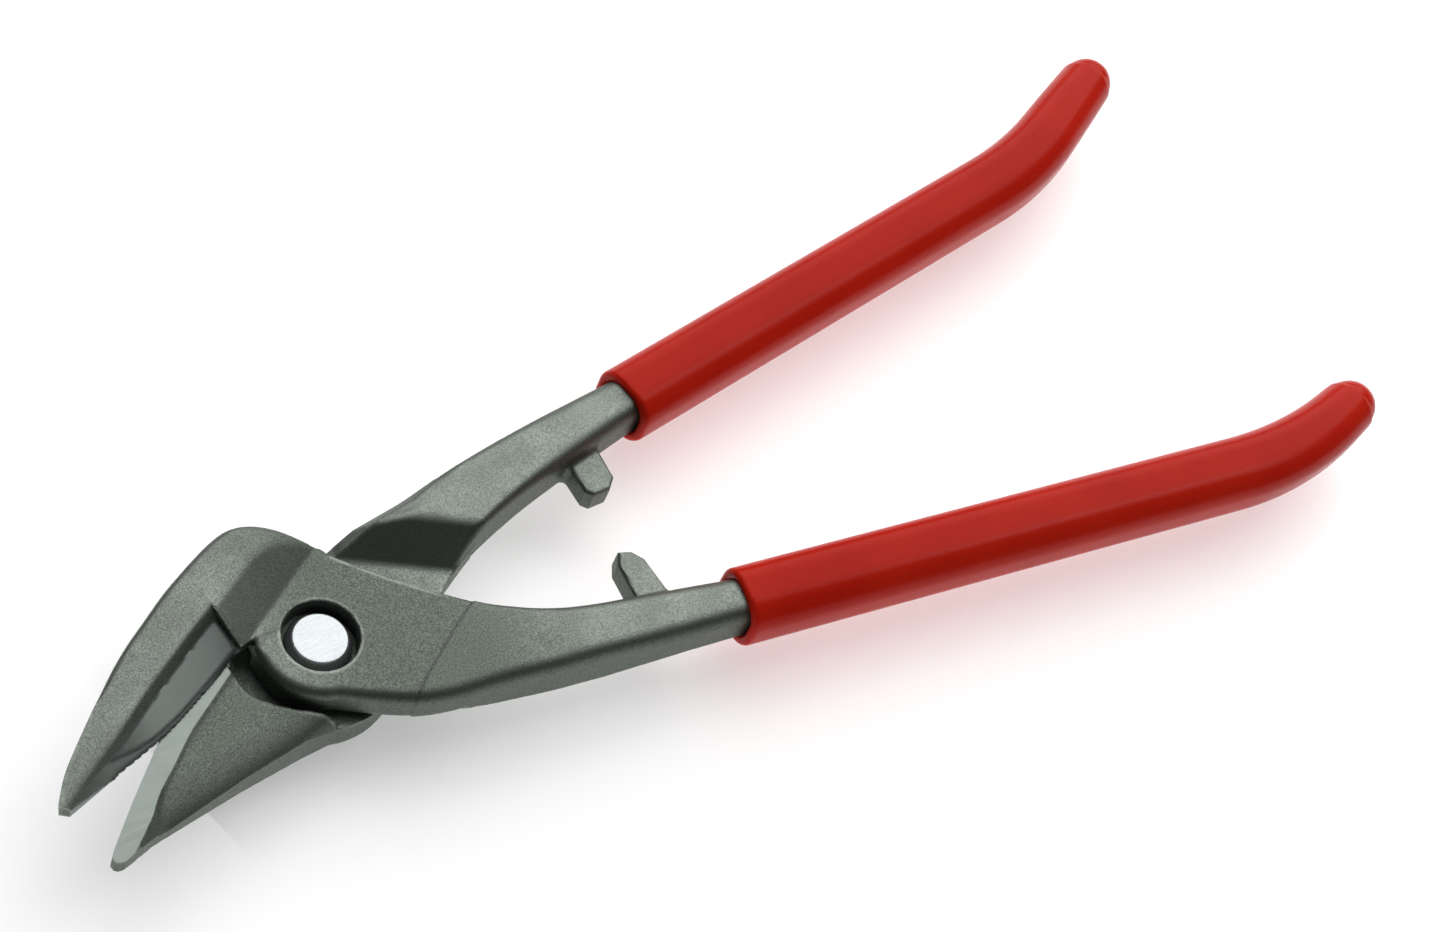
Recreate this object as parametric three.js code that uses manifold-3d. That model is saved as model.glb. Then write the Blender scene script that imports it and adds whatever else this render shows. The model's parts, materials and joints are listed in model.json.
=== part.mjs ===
// Pelican-pattern tinner's snips: two forged levers crossing at one pivot bolt, with dipped grips.
//
// Millimetres. The pivot axis is the Z axis and +Z points out of the front face, where the bolt's
// bright head is seen. The origin is the centre of that head's flat face. +X runs from the pivot
// towards the grips, midway between the two handles. The blades point towards -X.
// The levers are drawn partly open.

import * as THREE from 'three';
import { LoftGeometry } from 'three/addons/geometries/LoftGeometry.js';
import { mergeVertices } from 'three/addons/utils/BufferGeometryUtils.js';
import Module from 'manifold-3d';

const wasm = await Module();
wasm.setup();

// ---- driving dimensions ----

const GAP = 0.3;                 // running clearance between the two levers
const FIT = 0.3;                 // clearance between pieces that touch in the real tool

// levels along the pivot axis
const BOSS_FRONT = 1.0;          // front face of the front lever's boss
const BEARING = -5.0;            // plane where the two joint faces run on each other
const JOINT_BACK = -11.0;        // back face of the rear lever's joint plate
const SHEAR = -0.5;              // plane where the two blades slide past each other
const BLADE_FRONT = 5.8;         // outer face of the front blade at its root
const BLADE_FRONT_TIP = 3.2;     // outer face of the front blade at its tip
const BLADE_BACK_TIP = -4.4;     // back face of the rear blade at its tip
const HANDLE_FRONT = 1.4;        // front face of both handle roots
const HANDLE_BACK = -11.0;       // back face of both handle roots
const HANDLE_MID = -5.0;         // middle plane of tangs and grips

// joint
const BOSS_R = 11.2;             // round end of the front boss, towards the blades
const PLATE_R = 14.2;            // round end of the rear joint plate
const COUNTERBORE_R = 6.5;       // recess around the bolt head
const COUNTERBORE_FLOOR = -3.2;
const BOLT_HEAD_R = 5.7;
const BOLT_FACE_R = 4.6;         // flat of the head inside its wide chamfer
const BOLT_CHAMFER = 2.1;
const SHANK_R = 4.0;
const KEY_FLAT = 3.2;            // half the width across the two flats of the keyed neck
const WASHER_R = 9.0;
const WASHER_T = 1.0;
const SPRING_R = 7.6;
const SPRING_T = 0.7;
const SPRING_CONE = 0.5;
const NUT_FLATS = 13.0;
const NUT_T = 4.6;
const COLLAR_R = 5.6;
const COLLAR_T = 1.7;

// stop lugs
const LUG_LOW = -8.4;
const LUG_HIGH = -3.2;

// handles, sizes across (in the plane of the tool) and deep (along Z)
const TANG_W = 8.4;
const TANG_D = 10.2;
const TANG_CORNER = 3.0;
const TANG_END_GAP = 9.0;        // the tang stops this far short of the grip's end
const GRIP_W = 13.1;
const GRIP_D = 12.9;
const GRIP_CORNER = 5.2;
const GRIP_SWELL = 0.2;          // how much wider a grip is where its bend starts
const GRIP_NARROW = 2.4;         // how much narrower it is at its end
const GRIP_NOSE = 6.0;           // length of the rounded end
const GRIP_LIP = 1.0;            // rounding of the mouth
const BEND_R = 78.0;

const FRONT_HANDLE = { x: 71.0, y: -23.1, heading: -9.1, straight: 111.4, bend: 22.0, tail: 11.1 };
const REAR_HANDLE = { x: 74.4, y: 20.8, heading: 8.3, straight: 101.0, bend: 17.0, tail: 26.0 };

// forged slopes, each running straight across its lever: the heading of the line, how far left of
// the pivot axis the slope's foot lies, and how steeply it rises from there
const FRONT_SLOPE = { heading: 30.3, foot: 8.4, rise: 0.617 };
const REAR_SLOPE = { heading: -30.5, foot: 18.0, rise: 0.796 };
const BELLY_HEADING = 14.4;      // the belly of the rear blade rolls over along this heading

// ---- small geometry kit ----

const DEG = Math.PI / 180;

function solid(geometry) {
  const bare = geometry.index ? geometry.toNonIndexed() : geometry.clone();
  deleteAttributeIfPresent(bare, 'normal');
  deleteAttributeIfPresent(bare, 'uv');
  const merged = mergeVertices(bare, 1e-4);
  const body = new wasm.Mesh({
    numProp: 3,
    vertProperties: new Float32Array(merged.attributes.position.array),
    triVerts: new Uint32Array(merged.index.array),
  });
  return new wasm.Manifold(body);
}

function deleteAttributeIfPresent(geometry, name) {
  if (geometry.attributes[name]) geometry.deleteAttribute(name);
}

function toGeometry(manifold) {
  const mesh = manifold.getMesh();
  const geometry = new THREE.BufferGeometry();
  geometry.setAttribute('position', new THREE.BufferAttribute(new Float32Array(mesh.vertProperties), 3));
  geometry.setIndex(new THREE.BufferAttribute(new Uint32Array(mesh.triVerts), 1));
  geometry.computeVertexNormals();
  return geometry;
}

// a flat outline, extruded from one level to another
function plate(shape, low, high, curveSegments = 24) {
  const geometry = new THREE.ExtrudeGeometry(shape, {
    depth: high - low,
    bevelEnabled: false,
    curveSegments,
  });
  geometry.translate(0, 0, low);
  return solid(geometry);
}

function polygon(points) {
  return new THREE.Shape(points.map(([x, y]) => new THREE.Vector2(x, y)));
}

function disc(radius) {
  const shape = new THREE.Shape();
  shape.absarc(0, 0, radius, 0, 2 * Math.PI, false);
  return shape;
}

// a profile drawn in (across, z), extruded both ways along a horizontal direction;
// `across` is measured from the pivot axis, to the left of that direction
function ridge(headingDeg, profile, reach = 80) {
  const geometry = new THREE.ExtrudeGeometry(polygon(profile), { depth: 2 * reach, bevelEnabled: false });
  geometry.translate(0, 0, -reach);
  const along = new THREE.Vector3(Math.cos(headingDeg * DEG), Math.sin(headingDeg * DEG), 0);
  const left = new THREE.Vector3(-along.y, along.x, 0);
  const up = new THREE.Vector3(0, 0, 1);
  geometry.applyMatrix4(new THREE.Matrix4().makeBasis(left, up, along));
  return solid(geometry);
}

// a round piece turned about the pivot axis; the profile is a list of [radius, z]
function turned(profile, segments = 40) {
  const geometry = new THREE.LatheGeometry(profile.map(([r, z]) => new THREE.Vector2(r, z)), segments);
  geometry.rotateX(Math.PI / 2);
  return solid(geometry);
}

function loft(sections) {
  return solid(new LoftGeometry(sections, { capStart: true, capEnd: true }));
}

// rounded rectangle between two points of the tool's plane, as one section of a loft;
// `a` lies on the left of the direction of travel and `b` on the right
function section(a, b, low, high, corner, perCorner = 3) {
  const across = new THREE.Vector2(b.x - a.x, b.y - a.y);
  const width = across.length();
  across.normalize();
  const centres = [
    [corner, low + corner, 180],
    [width - corner, low + corner, 270],
    [width - corner, high - corner, 0],
    [corner, high - corner, 90],
  ];
  const points = [];
  for (const [u, z, start] of centres) {
    for (let i = 0; i <= perCorner; i += 1) {
      const angle = (start + (90 * i) / perCorner) * DEG;
      const s = u + corner * Math.cos(angle);
      points.push(new THREE.Vector3(a.x + across.x * s, a.y + across.y * s, z + corner * Math.sin(angle)));
    }
  }
  return points.reverse();
}

// ---- handle centreline: straight, a bend to the left, a straight tail ----

function bendLength(handle) {
  return BEND_R * handle.bend * DEG;
}

function handleLength(handle) {
  return handle.straight + bendLength(handle) + handle.tail;
}

function handlePoint(handle, distance) {
  const straight = Math.min(distance, handle.straight);
  const bent = THREE.MathUtils.clamp(distance - handle.straight, 0, bendLength(handle));
  const tail = Math.max(distance - handle.straight - bendLength(handle), 0);
  const start = handle.heading * DEG;
  const heading = start + bent / BEND_R;
  const x = handle.x + straight * Math.cos(start)
    + BEND_R * (Math.sin(heading) - Math.sin(start)) + tail * Math.cos(heading);
  const y = handle.y + straight * Math.sin(start)
    - BEND_R * (Math.cos(heading) - Math.cos(start)) + tail * Math.sin(heading);
  return { x, y, heading };
}

function handleSection(handle, distance, width, depth, corner, perCorner = 3) {
  const { x, y, heading } = handlePoint(handle, distance);
  const nx = -Math.sin(heading) * width / 2;
  const ny = Math.cos(heading) * width / 2;
  const a = { x: x + nx, y: y + ny };
  const b = { x: x - nx, y: y - ny };
  return section(a, b, HANDLE_MID - depth / 2, HANDLE_MID + depth / 2, corner, perCorner);
}

const BEND_STEPS = 4;

// distances along a handle where its sections stand, closer together in the bend
function stations(handle, from, to) {
  const stops = new Set([from, handle.straight / 2, to]);
  for (let step = 0; step <= BEND_STEPS; step += 1) {
    stops.add(handle.straight + bendLength(handle) * step / BEND_STEPS);
  }
  return [...stops].filter((stop) => stop >= from && stop <= to).sort((p, q) => p - q);
}

// ---- tangs and grips ----

// the forged root narrows from the joint to the tang; each row is the left edge, the right edge
// and the depth of one section, all in the tool's plane
function tang(handle, rootRows) {
  const sections = rootRows.map(([left, right, low, high]) => section(
    { x: left[0], y: left[1] },
    { x: right[0], y: right[1] },
    low,
    high,
    TANG_CORNER,
  ));
  const end = handleLength(handle) - TANG_END_GAP;
  for (const distance of stations(handle, 0, end)) {
    sections.push(handleSection(handle, distance, TANG_W, TANG_D, TANG_CORNER));
  }
  return loft(sections);
}

function gripWidth(handle, distance) {
  const swell = Math.min(distance / handle.straight, 1) * GRIP_SWELL;
  const beyond = (distance - handle.straight) / (handleLength(handle) - handle.straight);
  const past = THREE.MathUtils.clamp(beyond, 0, 1);
  return GRIP_W + swell - (GRIP_SWELL + GRIP_NARROW) * past * past;
}

const GRIP_FIRST = 30;           // first section of the skin beyond its mouth
const NOSE_TURNS = [0, 25, 45, 62, 76, 86];

function grip(handle) {
  const total = handleLength(handle);
  const outer = [];
  const lipSteps = [[0, GRIP_LIP], [0.3 * GRIP_LIP, 0.3 * GRIP_LIP], [GRIP_LIP, 0]];
  for (const [distance, inset] of lipSteps) {
    const width = gripWidth(handle, distance) - 2 * inset;
    outer.push(handleSection(handle, distance, width, GRIP_D - 2 * inset, GRIP_CORNER - inset, 4));
  }
  for (const distance of stations(handle, GRIP_FIRST, total - GRIP_NOSE - 1)) {
    const width = gripWidth(handle, distance);
    const depth = GRIP_D + (width - GRIP_W);
    outer.push(handleSection(handle, distance, width, depth, GRIP_CORNER, 4));
  }
  const endWidth = gripWidth(handle, total);
  const endDepth = GRIP_D + (endWidth - GRIP_W);
  for (const turn of NOSE_TURNS) {
    const scale = Math.cos(turn * DEG);
    const distance = total - GRIP_NOSE + GRIP_NOSE * Math.sin(turn * DEG);
    outer.push(handleSection(handle, distance, endWidth * scale, endDepth * scale, GRIP_CORNER * scale, 4));
  }
  const bore = [];
  const boreEnd = total - TANG_END_GAP + FIT;
  for (const distance of [-2, ...stations(handle, 0, boreEnd)]) {
    bore.push(handleSection(handle, distance, TANG_W + 2 * FIT, TANG_D + 2 * FIT, TANG_CORNER + FIT));
  }
  return loft(outer).subtract(loft(bore));
}

// ---- front lever ----

// outline of the hooked upper blade, seen from the front: spine first, then back along the edge
const BLADE_SPINE = [
  [7.8, 13.6], [4.8, 16.6], [1.5, 19.1], [-2.4, 21.0], [-6.1, 21.6], [-9.6, 20.9], [-14.5, 18.7],
  [-20.4, 15.7], [-25.8, 12.4], [-31.4, 8.8], [-36.5, 4.7], [-46.1, -3.8], [-49.5, -7.6], [-50.7, -10.0],
];
const UPPER_EDGE = [[-49.4, -10.9], [-39.5, -7.8], [-30.6, -5.0], [-20.7, -0.5], [-14.1, 2.9]];

// line where the ground bevel meets the outer face, station by station with UPPER_EDGE
const BEVEL_LINE = [[-50.3, -11.5], [-38.2, -4.7], [-29.0, 1.0], [-20.0, 6.1], [-14.0, 9.2]];

// the outer face starts to thin this far from the pivot, and the back of the rear blade this far
const FACE_TAPER = { from: 15, length: 35 };
const BACK_TAPER = { from: 9, length: 38 };

function bladeFace(x) {
  const t = THREE.MathUtils.clamp((-FACE_TAPER.from - x) / FACE_TAPER.length, 0, 1);
  return THREE.MathUtils.lerp(BLADE_FRONT, BLADE_FRONT_TIP, t);
}

// the solid that grinding removes in front of the upper cutting edge
function bevelWaste() {
  const low = SHEAR + GAP / 2;
  const top = BLADE_FRONT + 2;
  const clear = new THREE.Vector2(3, -9);    // well off the blade, away from its edge
  const rows = UPPER_EDGE.map(([x, y], i) => {
    const [bx, by] = BEVEL_LINE[i];
    return [
      new THREE.Vector3(x, y, low),
      new THREE.Vector3(bx, by, bladeFace(bx)),
      new THREE.Vector3(bx, by, top),
      new THREE.Vector3(x + clear.x, y + clear.y, top),
      new THREE.Vector3(x + clear.x, y + clear.y, low - 1),
    ];
  });
  const [first] = rows;
  const last = rows[rows.length - 1];
  const before = first.map((p) => new THREE.Vector3(p.x - 6, p.y - 2, p.z));
  const after = last.map((p) => new THREE.Vector3(p.x + 1.5, p.y + 0.8, p.z));
  return loft([before, ...rows, after]);
}

function upperBlade() {
  const low = SHEAR + GAP / 2;
  const outline = [...BLADE_SPINE, ...UPPER_EDGE, [-11.0, 4.0], [-6.0, 4.0], [4.0, 9.0]];
  const taper = (BLADE_FRONT - BLADE_FRONT_TIP) / FACE_TAPER.length;
  const beyond = 12;
  const near = FACE_TAPER.from - beyond;
  const far = FACE_TAPER.from + FACE_TAPER.length + beyond;
  const above = BLADE_FRONT + 9;
  const faceWaste = ridge(90, [
    [near, BLADE_FRONT + taper * beyond],
    [far, BLADE_FRONT_TIP - taper * beyond],
    [far, above],
    [near, above],
  ]);
  return plate(polygon(outline.reverse()), low, BLADE_FRONT)
    .subtract(faceWaste)
    .subtract(bevelWaste());
}

// underside of the crank, measured across the front slope's heading
const CRANK_FOOT = 11.5;
const CRANK_TOP = 16.5;

// the crank that carries the upper blade forward of the boss
function crank() {
  const outline = [
    [7.8, 13.6], [4.8, 16.6], [1.5, 19.1], [-2.4, 21.0], [-6.1, 20.8],
    [-9.5, 17.0], [-10.4, 11.0], [-9.6, 5.6], [-2.0, 4.0], [5.0, 6.0],
  ];
  const far = 40;
  const underside = ridge(FRONT_SLOPE.heading, [
    [CRANK_FOOT, BEARING - 1],
    [CRANK_FOOT, BEARING + 1.2],
    [CRANK_TOP, SHEAR + GAP],
    [far, SHEAR + GAP],
    [far, BEARING - 1],
  ]);
  return plate(polygon(outline), BEARING + GAP / 2, SHEAR + 1).subtract(underside);
}

function frontBoss() {
  const shape = new THREE.Shape();
  shape.moveTo(7.6, 13.8);
  shape.lineTo(BOSS_R * Math.cos(166 * DEG), BOSS_R * Math.sin(166 * DEG));
  shape.absarc(0, 0, BOSS_R, 166 * DEG, 256 * DEG, false);
  shape.bezierCurveTo(1.0, -12.6, 3.5, -15.8, 9.0, -17.7);
  shape.bezierCurveTo(14.0, -19.2, 20.0, -20.0, 26.0, -20.4);
  shape.lineTo(31.0, -8.0);
  shape.lineTo(26.2, -4.7);
  shape.lineTo(15.5, 4.9);
  return plate(shape, BEARING + GAP / 2, BOSS_FRONT);
}

// the handle root stands slightly proud of the boss from a curved step outwards
function frontRootFace() {
  const shape = new THREE.Shape();
  shape.moveTo(26.4, -4.9);
  shape.quadraticCurveTo(14.0, -11.6, 8.8, -17.0);
  shape.lineTo(26.0, -20.0);
  shape.lineTo(31.5, -8.4);
  return plate(shape, BEARING + GAP / 2, HANDLE_FRONT, 8);
}

const FRONT_LUG = [
  [54.4, -18.5], [55.5, -7.6], [56.9, -5.5], [59.2, -6.3], [60.6, -8.5], [61.2, -19.0],
];

function frontLug() {
  return plate(polygon(FRONT_LUG), LUG_LOW, LUG_HIGH);
}

// handle root of the front lever: left edge, right edge, lowest and highest level of each section
const FRONT_ROOT = [
  [[26.4, -4.9], [17.0, -18.6], -7.6, HANDLE_FRONT],
  [[31.0, -7.9], [24.8, -20.4], -7.9, HANDLE_FRONT],
  [[38.1, -11.2], [34.2, -22.0], -9.0, HANDLE_FRONT - 0.2],
  [[46.6, -13.7], [44.1, -23.3], HANDLE_BACK + 0.7, HANDLE_FRONT - 0.6],
  [[58.9, -16.2], [57.6, -25.4], HANDLE_BACK + 0.8, HANDLE_FRONT - 1.0],
];

// the space above a forged slope, which starts at one level and ends at another
function slopeWaste({ heading, foot, rise }, low, high) {
  const top = foot + (high - low) / rise;
  const near = -40;
  const above = high + 4;
  return ridge(heading, [[near, low], [foot, low], [top, high], [top, above], [near, above]]);
}

// hole for the bolt's neck, with two flats that keep the bolt from turning
function keyhole() {
  const reach = 9;
  const flat = KEY_FLAT + FIT / 2;
  const slot = polygon([[-reach, -flat], [reach, -flat], [reach, flat], [-reach, flat]]);
  return plate(disc(SHANK_R + FIT / 2), BEARING - 1, COUNTERBORE_FLOOR + 1)
    .intersect(plate(slot, BEARING - 2, COUNTERBORE_FLOOR + 2));
}

function frontLever() {
  return upperBlade()
    .add(crank())
    .subtract(slopeWaste(FRONT_SLOPE, BOSS_FRONT, BLADE_FRONT))
    .add(frontBoss())
    .add(frontRootFace())
    .add(tang(FRONT_HANDLE, FRONT_ROOT))
    .add(frontLug())
    .subtract(plate(disc(COUNTERBORE_R), COUNTERBORE_FLOOR, BOSS_FRONT + 4))
    .subtract(keyhole());
}

// ---- rear lever ----

// lower blade seen from the front: along the cutting edge to the tip, then back under the body
const LOWER_EDGE = [[-17.4, 7.9], [-32.7, -6.2], [-39.6, -12.4], [-45.9, -18.5], [-46.7, -19.6]];
const LOWER_BELLY = [
  [-46.4, -20.5], [-45.1, -20.9], [-38.9, -18.9], [-31.4, -17.5],
  [-21.5, -15.8], [-9.3, -14.2], [1.2, -13.9],
];

function lowerBladeOutline() {
  const [lastX, lastY] = LOWER_BELLY[LOWER_BELLY.length - 1];
  return polygon([...LOWER_EDGE, ...LOWER_BELLY, [lastX - 0.4, lastY + 1.5]]);
}

// curved wall that the front boss turns in, wider towards the throat
function stepPocket() {
  return [
    [-2.0, -14.6], [-3.2, -12.9], [-4.6, -11.6], [-9.2, -8.8], [-12.2, -6.3], [-14.2, -3.9], [-15.3, 1.0],
    [-16.2, 5.6], [-14.0, 9.0], [0.0, 13.0], [12.0, 0.0], [6.0, -16.0],
  ];
}

// the body rolls away from the flat top towards its underside
function bellyWaste() {
  const top = SHEAR - GAP / 2;
  const far = -30;
  const roll = [
    [-7.4, 0], [-9.0, -1.1], [-10.5, -3.1], [-12.0, -6.4], [-13.4, -8.6], [far, -8.6], [far, 3], [-7.4, 3],
  ];
  return ridge(BELLY_HEADING, roll.map(([side, level]) => [side, top + level]));
}

function lowerBlade() {
  const rise = (BLADE_BACK_TIP - JOINT_BACK) / BACK_TAPER.length;
  const near = BACK_TAPER.from;
  const far = 60;
  const below = JOINT_BACK - 5;
  const backWaste = ridge(90, [
    [near, JOINT_BACK], [far, JOINT_BACK + rise * (far - near)], [far, below], [near, below],
  ]);
  return plate(lowerBladeOutline(), JOINT_BACK, SHEAR - GAP / 2)
    .subtract(backWaste)
    .subtract(plate(polygon(stepPocket()), BEARING - GAP / 2, SHEAR + 2));
}

function jointPlate() {
  const shape = new THREE.Shape();
  shape.absarc(0, 0, PLATE_R, 84 * DEG, 336 * DEG, false);
  shape.quadraticCurveTo(19.0, -3.4, 27.0, 2.6);
  shape.lineTo(35.3, 7.1);
  shape.lineTo(35.0, 18.6);
  shape.lineTo(24.5, 17.4);
  shape.lineTo(10.0, 15.4);
  return plate(shape, JOINT_BACK, BEARING - GAP / 2);
}

const REAR_LUG = [
  [58.2, 18.0], [58.1, 7.4], [59.2, 6.2], [62.6, 6.2], [64.6, 8.0], [65.2, 18.6],
];

function rearLug() {
  return plate(polygon(REAR_LUG), LUG_LOW, LUG_HIGH);
}

// handle root of the rear lever, whose front lies a little below the front lever's
const REAR_FRONT = HANDLE_FRONT - 0.9;
const REAR_ROOT = [
  [[12.4, 16.4], [24.5, 1.4], HANDLE_BACK, REAR_FRONT],
  [[24.3, 17.8], [28.2, 3.2], HANDLE_BACK, REAR_FRONT],
  [[34.8, 19.3], [35.4, 6.9], HANDLE_BACK, REAR_FRONT],
  [[47.1, 21.4], [47.3, 10.6], HANDLE_BACK + 0.3, REAR_FRONT],
  [[60.0, 23.3], [60.9, 13.7], HANDLE_BACK + 0.7, REAR_FRONT - 0.1],
];

function rearLever() {
  return tang(REAR_HANDLE, REAR_ROOT)
    .subtract(slopeWaste(REAR_SLOPE, BEARING - GAP / 2, REAR_FRONT))
    .add(jointPlate())
    .add(lowerBlade().subtract(bellyWaste()))
    .add(rearLug())
    .subtract(plate(disc(SHANK_R + FIT / 2), JOINT_BACK - 1, BEARING + 1));
}

// ---- pivot hardware ----

const WASHER_TOP = JOINT_BACK - FIT;
const SPRING_TOP = WASHER_TOP - WASHER_T - FIT;
const NUT_TOP = SPRING_TOP - SPRING_T - SPRING_CONE - FIT;
const COLLAR_LOW = NUT_TOP - NUT_T - COLLAR_T;
const BOLT_END = COLLAR_LOW - 0.6;
const THREAD_R = SHANK_R - 0.25;

function pivotBolt() {
  const seat = COUNTERBORE_FLOOR + FIT / 2;
  const neckEnd = BEARING - GAP / 2;
  const body = turned([
    [0, BOLT_END], [THREAD_R - 0.7, BOLT_END], [THREAD_R, BOLT_END + 0.7], [THREAD_R, WASHER_TOP + FIT],
    [SHANK_R, WASHER_TOP + FIT], [SHANK_R, seat], [BOLT_HEAD_R, seat],
    [BOLT_HEAD_R, -BOLT_CHAMFER], [BOLT_FACE_R, 0], [0, 0],
  ]);
  const flats = [1, -1].map((side) => plate(polygon([
    [-6, side * KEY_FLAT], [6, side * KEY_FLAT], [6, side * 6], [-6, side * 6],
  ]), neckEnd, seat));
  return flats.reduce((bolt, flat) => bolt.subtract(flat), body);
}

function thrustWasher() {
  const hole = SHANK_R + FIT;
  const low = WASHER_TOP - WASHER_T;
  return turned([
    [hole, low], [WASHER_R, low], [WASHER_R, WASHER_TOP], [hole, WASHER_TOP], [hole, low],
  ], 36);
}

function discSpring() {
  const hole = SHANK_R + FIT;
  const low = SPRING_TOP - SPRING_T;
  return turned([
    [hole, low - SPRING_CONE], [SPRING_R, low], [SPRING_R, SPRING_TOP],
    [hole, SPRING_TOP - SPRING_CONE], [hole, low - SPRING_CONE],
  ], 36);
}

function hexagon(acrossFlats) {
  const corner = acrossFlats / Math.sqrt(3);
  const points = [];
  for (let i = 0; i < 6; i += 1) {
    points.push([corner * Math.cos(60 * i * DEG), corner * Math.sin(60 * i * DEG)]);
  }
  return polygon(points);
}

function pivotNut() {
  const corner = NUT_FLATS / Math.sqrt(3);
  const low = NUT_TOP - NUT_T;
  const rounding = turned([
    [0, low - 2], [corner - 2.2, low - 2], [corner - 0.2, low + 1.0],
    [corner + 0.4, NUT_TOP], [0, NUT_TOP],
  ], 36);
  const ringSeat = turned([
    [0, COLLAR_LOW - 1], [COLLAR_R - 1.3, COLLAR_LOW - 1], [COLLAR_R - 1.3, COLLAR_LOW + 0.3],
    [COLLAR_R - 0.7, COLLAR_LOW + 0.3], [COLLAR_R - 0.7, low], [0, low],
  ], 36);
  const collar = turned([
    [0, COLLAR_LOW], [COLLAR_R - 0.4, COLLAR_LOW], [COLLAR_R, COLLAR_LOW + 0.4],
    [COLLAR_R, low + 1], [0, low + 1],
  ], 36);
  return plate(hexagon(NUT_FLATS), low, NUT_TOP)
    .intersect(rounding)
    .add(collar)
    .subtract(ringSeat)
    .subtract(plate(disc(THREAD_R + FIT / 2), COLLAR_LOW - 1, NUT_TOP + 1));
}

function nutLockRing() {
  const inner = THREAD_R + FIT / 2;
  const outer = COLLAR_R - 0.7 - FIT / 2;
  const low = COLLAR_LOW + 0.3 + FIT / 2;
  const high = NUT_TOP - NUT_T - FIT / 2;
  return turned([[inner, low], [outer, low], [outer, high], [inner, high], [inner, low]], 36);
}

// ---- materials and assembly ----

function forgedSteel() {
  return new THREE.MeshStandardMaterial({ color: 0x8b918a, roughness: 0.55, metalness: 0.9 });
}

function dippedPlastic() {
  return new THREE.MeshStandardMaterial({ color: 0xc2342a, roughness: 0.3, metalness: 0.0 });
}

function zincPlate() {
  return new THREE.MeshStandardMaterial({ color: 0xdfe2e4, roughness: 0.25, metalness: 1.0 });
}

function nylon() {
  return new THREE.MeshStandardMaterial({ color: 0x3f6fae, roughness: 0.5, metalness: 0.0 });
}

function node(name, manifold, material) {
  const mesh = new THREE.Mesh(toGeometry(manifold), material);
  mesh.name = name;
  return mesh;
}

const snips = new THREE.Group();
snips.add(node('front_lever', frontLever(), forgedSteel()));
snips.add(node('rear_lever', rearLever(), forgedSteel()));
snips.add(node('front_grip', grip(FRONT_HANDLE), dippedPlastic()));
snips.add(node('rear_grip', grip(REAR_HANDLE), dippedPlastic()));
snips.add(node('pivot_bolt', pivotBolt(), zincPlate()));
snips.add(node('thrust_washer', thrustWasher(), zincPlate()));
snips.add(node('disc_spring', discSpring(), zincPlate()));
snips.add(node('pivot_nut', pivotNut(), zincPlate()));
snips.add(node('nut_lock_ring', nutLockRing(), nylon()));

export default snips;
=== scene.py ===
"""Pelican-pattern tinner's snips: two forged levers crossing at one pivot bolt, with red dipped grips.

The forged and turned pieces are written as distance fields in millimetres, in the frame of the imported
model, and turned into meshes that keep their sharp ground edges and their soft forged ones. The grips
are lofted. Everything is finished with procedural materials.
"""
import json
import math

import bpy
import numpy as np
from mathutils import Matrix, Vector


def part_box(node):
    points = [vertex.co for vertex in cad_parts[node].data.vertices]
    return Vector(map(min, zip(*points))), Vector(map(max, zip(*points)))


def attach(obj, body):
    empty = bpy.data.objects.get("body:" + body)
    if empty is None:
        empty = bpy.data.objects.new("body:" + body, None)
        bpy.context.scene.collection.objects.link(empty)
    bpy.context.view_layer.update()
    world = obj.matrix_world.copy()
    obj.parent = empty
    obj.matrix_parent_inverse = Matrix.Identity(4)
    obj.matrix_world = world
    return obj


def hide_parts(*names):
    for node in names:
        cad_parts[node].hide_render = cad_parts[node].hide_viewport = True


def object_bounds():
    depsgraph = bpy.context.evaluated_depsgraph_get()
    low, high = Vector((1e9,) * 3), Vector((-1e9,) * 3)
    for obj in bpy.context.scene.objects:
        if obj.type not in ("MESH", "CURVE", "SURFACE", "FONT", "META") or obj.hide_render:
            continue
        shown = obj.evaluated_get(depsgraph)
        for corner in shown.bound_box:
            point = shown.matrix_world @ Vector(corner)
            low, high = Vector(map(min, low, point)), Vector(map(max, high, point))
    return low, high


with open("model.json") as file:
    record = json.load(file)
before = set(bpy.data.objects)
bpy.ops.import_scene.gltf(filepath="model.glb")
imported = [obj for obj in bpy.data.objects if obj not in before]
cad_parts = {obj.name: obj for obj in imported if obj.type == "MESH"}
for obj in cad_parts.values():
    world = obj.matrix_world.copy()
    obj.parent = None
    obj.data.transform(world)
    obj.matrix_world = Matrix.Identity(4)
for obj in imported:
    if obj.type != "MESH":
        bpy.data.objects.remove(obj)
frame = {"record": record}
cad_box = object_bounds()

MM = 0.001
FINE = 1.0     # coarser meshes while trying things

# ---- driving dimensions, millimetres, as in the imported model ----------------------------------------

GAP = 0.3                       # clearance between neighbouring pieces

# levels along Z, with the face of the bolt's head at 0
BOSS_FRONT = 1.0
BEARING = -5.0                  # where the two levers bear on each other
JOINT_BACK = -11.0
SHEAR = -0.5                    # the plane in which the blades cut
BLADE_FRONT = 5.8
BLADE_FRONT_TIP = 3.2
BLADE_BACK_TIP = -4.4
HANDLE_FRONT = 1.4
HANDLE_BACK = -11.0
HANDLE_MID = -5.0               # middle plane of tangs and grips

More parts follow.
